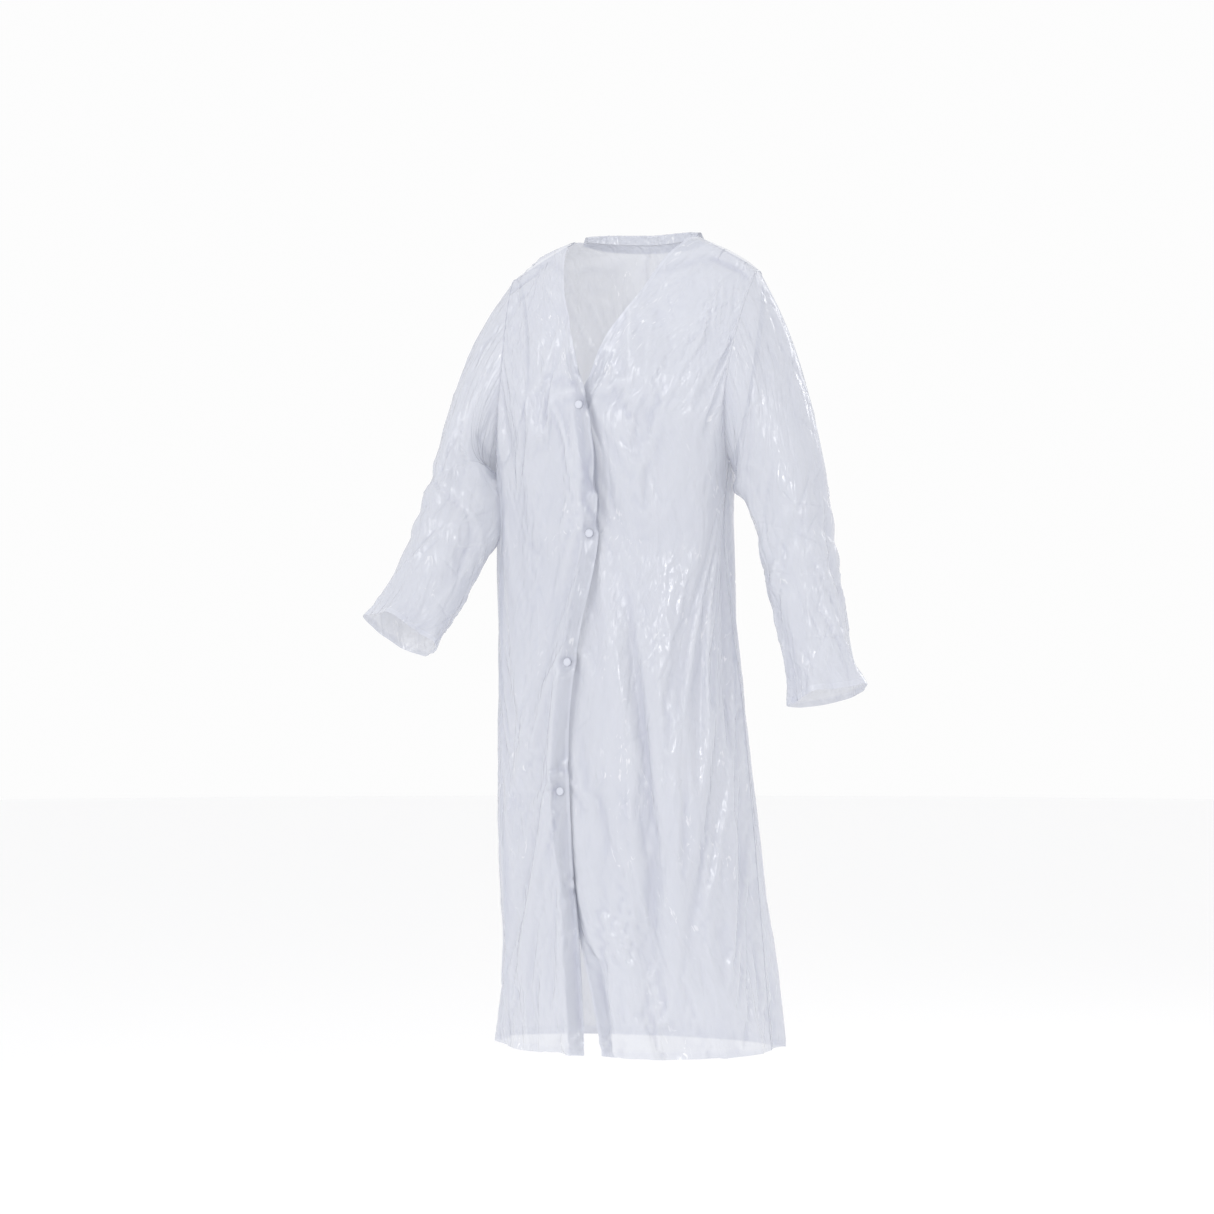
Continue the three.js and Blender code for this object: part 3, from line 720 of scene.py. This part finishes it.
left_front, left_grid, left_coarse = make_front(left, "left_front_film", [torso(-1, 0.022)])
right_supports = [torso(-1, 0.018), left_coarse]
right_front, right_grid, _ = make_front(right, "right_front_film", right_supports)


# %% [markdown]
# ## The folded-in bands
# The free edge of each front is folded back on itself, so that the snaps sit in two layers.
# The band is a copy of the front's own first rows of points, set just behind it.

# %% Bands
def make_band(name, grid):
    """The part of a front within the facing's width of the free edge, 1.8 mm behind it."""
    rows = np.arange(grid.shape[0])[grid[:, 0, 2] < -0.165]
    run = lengths(grid[rows], 1)
    share = np.linspace(0, 1, 12)[None, :] * facing
    step = np.array([np.interp(share[0], run[k], np.arange(run.shape[1])) for k in range(len(rows))])
    low = np.minimum(step.astype(int), grid.shape[1] - 2)
    part = (step - low)[..., None]
    row = np.arange(len(rows))[:, None]
    source = grid[rows]
    band = source[row, low] * (1 - part) + source[row, low + 1] * part
    band = band - normals(band, away_from_body(band)) * 0.0018
    return make_sheet(name, band, folded_film, -away_from_body(band), 0.1)


right_band = make_band("right_front_band", right_grid)
left_band = make_band("left_front_band", left_grid)

# %% [markdown]
# ## The sleeves
# A sleeve is a tube that starts as the armhole weld and narrows along the arm. Its rings are
# mixed from the weld's own outline, slid along the arm, and an oval set square to the arm. The
# real tube is wider than an arm, so it falls in long folds and gathers in rings about the
# elbow.

# %% Arms
arms = {
    right: np.array([
        [-0.196, -0.008, -0.190], [-0.226, -0.018, -0.245], [-0.244, -0.040, -0.322],
        [-0.250, -0.084, -0.420], [-0.266, -0.126, -0.500], [-0.292, -0.168, -0.566],
    ]),
    left: np.array([
        [0.172, -0.008, -0.190], [0.199, -0.007, -0.250], [0.221, -0.006, -0.335],
        [0.243, -0.012, -0.430], [0.266, -0.022, -0.530], [0.300, -0.042, -0.652],
    ]),
}
out_in = {
    right: through((0, 0.090), (0.36, 0.046), (0.6, 0.054), (0.94, 0.054), (1, 0.058)),
    left: through((0, 0.100), (0.35, 0.060), (0.7, 0.050), (0.92, 0.047), (1, 0.054)),
}
front_back = {
    right: through((0, 0.062), (0.35, 0.060), (0.7, 0.052), (0.94, 0.047), (1, 0.050)),
    left: through((0, 0.062), (0.35, 0.058), (0.7, 0.048), (0.92, 0.044), (1, 0.050)),
}

# How far the slack film under each arm clings inwards, where along the arm, and over what length.
webs = {right: (0.024, 0.50, 0.15), left: (0.016, 0.28, 0.10)}


def arm_line(side, shares):
    """Points and directions down the arm at shares of its length."""
    line = finer(np.repeat(arms[side][:, None], 2, axis=1), 24)[:, 0]
    run = np.insert(np.cumsum(np.linalg.norm(np.diff(line, axis=0), axis=-1)), 0, 0)
    at = shares * run[-1]
    point = np.stack([np.interp(at, run, line[:, k]) for k in range(3)], -1)
    slope = np.gradient(line, run, axis=0)
    direction = np.stack([np.interp(at, run, slope[:, k]) for k in range(3)], -1)
    return point, direction / np.linalg.norm(direction, axis=-1, keepdims=True)


def armhole_point(side, turn):
    """The armhole weld: turn 0 at the shoulder, a quarter in front, a half at the armpit."""
    half = (armpit - shoulder) / 2
    z = -shoulder - half + half * np.cos(turn)
    x = middle_x(z) + side * armhole(z)
    angle = angle_of(x, z)
    return np.where(np.sin(turn)[..., None] >= 0, form(angle, z, -1), form(angle, z, 1))


# %% Sleeve grid
def sleeve_grid(side, rows=90, columns=64):
    """A sleeve: rows down the arm, columns round it from the shoulder by the front."""
    along = np.linspace(0, 1, rows)
    turn = np.linspace(0, 2 * np.pi, columns, endpoint=False)[None, :]
    middle, down = arm_line(side, along)
    amount, centre, spread = webs[side]
    cling = np.exp(-(((along - centre) / spread) ** 2))[:, None]
    web = amount * cling * np.clip(-np.cos(turn), 0, 1) ** 2
    outside = np.array([side, 0, 0]) - side * down[:, :1] * down
    outside /= np.linalg.norm(outside, axis=-1, keepdims=True)
    ahead = np.cross(down, outside)
    ahead *= -np.sign(ahead[:, 1:2])
    wide = out_in[side](along)[:, None] * np.cos(turn) - web
    deep = front_back[side](along)[:, None] * np.sin(turn)
    oval = middle[:, None] + outside[:, None] * wide[..., None] + ahead[:, None] * deep[..., None]
    slid = armhole_point(side, turn) + (middle - middle[0])[:, None]
    share = eased(along, 0, 0.42)[:, None, None]
    return mixed(slid, oval, share), middle


def sleeve_relief(side, rows, columns, seed, count, reach, width, height, lean):
    """Creases laid out on the unrolled tube, repeated once so that they meet round the back."""
    down_arm, round_arm = 0.5, 0.34
    v = np.linspace(0, down_arm, rows)[:, None] + np.zeros((1, columns))
    u = np.linspace(0, round_arm, columns, endpoint=False)[None, :] + 0 * v
    total = sum(creases(u + shift, v, seed, count, reach, width, height, lean)
                for shift in (0, round_arm))
    return total * eased(np.linspace(0, 1, rows), 0, 0.06)[:, None]


def wrapped_finer(grid, times):
    """finer() on a closed ring: three columns are borrowed from each end and cut off again."""
    wide = np.concatenate([grid[:, -3:], grid, grid[:, :3]], 1)
    fine = finer(wide, times)
    return fine[:, 3 * times: 3 * times + grid.shape[1] * times]


def sleeve_folds(side, grid):
    """Rings of soft folds about the elbow, long folds down the arm, and a ruffled cuff."""
    rows, columns = grid.shape[:2]
    along = np.linspace(0, 1, rows)[:, None]
    turn = np.linspace(0, 2 * np.pi, columns, endpoint=False)[None, :]
    wander = np.sin(52 * along + 2.2 * np.sin(turn + side) + np.sin(2 * turn))
    rings = 0.0018 * wander * np.exp(-(((along - 0.55) / 0.16) ** 2))
    uneven = 0.6 + 0.4 * np.sin(3 * turn + 1)
    long_folds = 0.003 * np.sin(5 * turn + 6 * along) * eased(along, 0.1, 0.5) * uneven
    cuff = (0.0045 * np.sin(4 * turn + 1.3) + 0.0015 * np.sin(9 * turn)) * eased(along, 0.9, 1)
    return rings + long_folds + cuff


# %% Sleeves
def make_sleeve(side, name, seed):
    """One sleeve: the tube, its folds, its wide creases, then the same finer with fine ones."""
    grid, middle = sleeve_grid(side)
    away = grid - middle[:, None]
    wide = sleeve_relief(side, *grid.shape[:2], seed, 50, 0.09, 0.007, 0.0020, 0.4)
    fade_in = eased(np.linspace(0, 1, grid.shape[0]), 0, 0.1)[:, None]
    relief = wide + sleeve_folds(side, grid) * fade_in
    grid = grid + normals(grid, away) * relief[..., None]
    grid = wrapped_finer(grid, 3)
    middle = finer(np.repeat(middle[:, None], 2, axis=1), 3)[:, 0]
    away = grid - middle[:, None]
    fine = sleeve_relief(side, *grid.shape[:2], seed + 1, 200, 0.035, 0.0024, 0.0009, 0.6)
    grid = grid + normals(grid, away) * fine[..., None]
    along = np.linspace(0, 1, grid.shape[0])[:, None] + np.zeros(grid.shape[:2])
    piece = make_sheet(name, grid, milky_film, away, 0.35 * (along > 0.985), closed=True)
    return piece, grid


right_sleeve, right_sleeve_grid = make_sleeve(right, "right_sleeve_film", 31)
left_sleeve, left_sleeve_grid = make_sleeve(left, "left_sleeve_film", 41)

# %% [markdown]
# ## The collar
# The collar is one strip of film, folded along its length. It stands on the back of the neck,
# turns over and falls a little way down the back, and it narrows towards the shoulders.

# %% Collar
def collar_grid(rows=61, columns=121):
    """The collar: columns round the neck and rows up the stand, over the fold and down again."""
    v, u = np.linspace(0, 1, rows)[:, None], np.linspace(-1, 1, columns)[None, :]
    x = u * (neck_half - 0.008) + 0 * v
    top = mixed(-0.006, -0.002, (x / neck_half) ** 2)
    side = x / neck_half
    out = np.stack([side, np.cos(side * 1.2), 0 * side], -1)
    out /= np.linalg.norm(out, axis=-1, keepdims=True)
    up = np.array([0, 0, 1.0])
    fall = out - 1.8 * up
    fall /= np.linalg.norm(fall, axis=-1, keepdims=True)
    size = mixed(1, 0.45, u ** 4)
    turn = np.clip((v - 0.4) / 0.2, 0, 1) * np.pi
    stand = 0.012 * size * np.minimum(v / 0.4, 1) + 0.002 * np.sin(turn) + 0.0018
    grid = form(angle_of(x, top), top, 1) + stand[..., None] * up
    grid = grid + out * (0.003 * (1 - np.cos(turn)) - 0.001)[..., None]
    ruffle = 0.0022 * np.sin(11 * u + 2) * np.sin(5 * u) * eased(v, 0.6, 1)
    grid = grid + fall * (0.026 * size * np.clip((v - 0.6) / 0.4, 0, 1))[..., None]
    return grid + out * ruffle[..., None]


collar_points = collar_grid()
rows, columns = collar_points.shape[:2]
collar_away = collar_points - collar_points[rows // 2] + np.array([0, 0.02, 0.004])
flat_collar = np.meshgrid(np.linspace(0, 0.19, columns), np.linspace(0, 0.06, rows))
collar_crease = creases(*flat_collar, 51, 120, 0.012, 0.002, 0.0007, 0.8)
collar_points = collar_points + normals(collar_points, collar_away) * collar_crease[..., None]
collar = make_sheet("collar_film", collar_points, folded_film, collar_away, 0.1)


# %% [markdown]
# ## Welds
# Two sheets are joined by a hot bar, which leaves a narrow raised line of melted film. Each
# weld is a flat oval carried along the edge that the sheets share.

# %% Weld
def make_weld(name, path, width=0.0013, height=0.0007, sides=8, closed=False):
    """A flat oval carried along a path. Its ends are closed by drawing the last rings in."""
    if closed:
        path = np.concatenate([path, path[:1]])
    ahead = np.gradient(path, axis=0)
    ahead /= np.linalg.norm(ahead, axis=-1, keepdims=True)
    out = away_from_body(path)
    out -= (out * ahead).sum(-1, keepdims=True) * ahead
    out /= np.linalg.norm(out, axis=-1, keepdims=True)
    beside = np.cross(ahead, out)
    turn = np.linspace(0, 2 * np.pi, sides, endpoint=False)
    count = len(path)
    size = np.ones(count)
    if not closed:
        size[[0, -1]] = 0.05
    size = size * (1 + 0.25 * np.sin(np.arange(count) * 1.7))
    ring = (beside[:, None] * (width * np.cos(turn))[None, :, None]
            + out[:, None] * (height * np.sin(turn))[None, :, None])
    points = path[:, None] + ring * size[:, None, None]
    return make_sheet(name, points, folded_film, ring, 0.5, closed=True)


# %% Welds
below = back_rim[:, 0, 2] < -armpit
across = back_rim[-1, :, 0]
welds = [
    make_weld("right_side_weld", back_rim[below, 0]),
    make_weld("left_side_weld", back_rim[below, -1]),
    make_weld("right_shoulder_weld", back_rim[-1, across <= -neck_half]),
    make_weld("left_shoulder_weld", back_rim[-1, across >= neck_half]),
    make_weld("right_armhole_weld", right_sleeve_grid[0], closed=True),
    make_weld("left_armhole_weld", left_sleeve_grid[0], closed=True),
]

# %% [markdown]
# ## Floor and light
# A plain pale floor stands where the wearer's feet would. The sky is an even white, which gives
# the soft studio light, and three lamps, two in front and one behind, draw the glints.

# %% Floor
def make_floor(height=-1.58, reach=14.0, sides=96):
    """One flat disc."""
    turn = np.linspace(0, 2 * np.pi, sides, endpoint=False)
    points = np.stack([reach * np.cos(turn), reach * np.sin(turn), height + 0 * turn], -1)
    mesh = bpy.data.meshes.new("floor")
    mesh.from_pydata(points, [], [list(range(sides))])
    finish = Finish("floor_paint")
    mesh.materials.append(finish.surface(base_color=(0.97, 0.97, 0.975, 1), roughness=0.8))
    floor = bpy.data.objects.new("floor", mesh)
    bpy.context.collection.objects.link(floor)
    return floor


make_floor()

# %% Light
world = bpy.data.worlds.new("studio")
bpy.context.scene.world = world
world.use_nodes = True
world.node_tree.nodes["Background"].inputs["Color"].default_value = (1, 1, 1, 1)
world.node_tree.nodes["Background"].inputs["Strength"].default_value = 0.98


def make_light(name, place, towards, size, power):
    """A soft rectangular lamp at a place, turned to look at another."""
    lamp = bpy.data.lights.new(name, "AREA")
    lamp.shape = "RECTANGLE"
    lamp.size, lamp.size_y = size
    lamp.energy = power
    thing = bpy.data.objects.new(name, lamp)
    thing.location = place
    away = np.array(towards, float) - np.array(place, float)
    flat = np.hypot(away[0], away[1])
    thing.rotation_euler = (np.arctan2(flat, -away[2]), 0, np.arctan2(-away[0], away[1]))
    bpy.context.collection.objects.link(thing)
    return thing


make_light("window", (-1.6, -3.2, 1.4), (0, 0, -0.5), (0.5, 1.6), 26)
make_light("spark", (2.2, -3.6, 0.6), (0, 0, -0.5), (0.22, 0.22), 14)
make_light("back_window", (1.8, 2.6, 1.2), (0, 0, -0.5), (0.5, 1.4), 16)
print("lamps", len(bpy.data.lights))

# %% [markdown]
# ## What moves with what
# The back, the collar and the welds stay with the body of the coat. Each front turns about its
# fold line when the coat is opened, and each sleeve bends at the elbow, but here the fronts,
# their folded-in bands and the sleeves only have their placement baked into their points.

# %% Bodies
for piece in (back, collar, *welds):
    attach(piece, "coat_body")
for piece in (right_front, right_band):
    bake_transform(piece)
for piece in (left_front, left_band):
    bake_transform(piece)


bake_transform(right_sleeve)
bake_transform(left_sleeve)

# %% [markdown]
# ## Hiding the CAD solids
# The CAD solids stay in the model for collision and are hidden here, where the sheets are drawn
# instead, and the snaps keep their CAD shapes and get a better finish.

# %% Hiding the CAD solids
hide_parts("back_panel")
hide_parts("collar")
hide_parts("right_front_panel", "right_front_flap")
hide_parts("left_front_panel", "left_front_flap")
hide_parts("right_front_facing")
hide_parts("left_front_facing")
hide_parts("right_sleeve_upper", "right_sleeve_lower")
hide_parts("left_sleeve_upper", "left_sleeve_lower")
for name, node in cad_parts.items():
    if name.startswith("snap_"):
        node.data.materials.clear()
        node.data.materials.append(snap_finish)
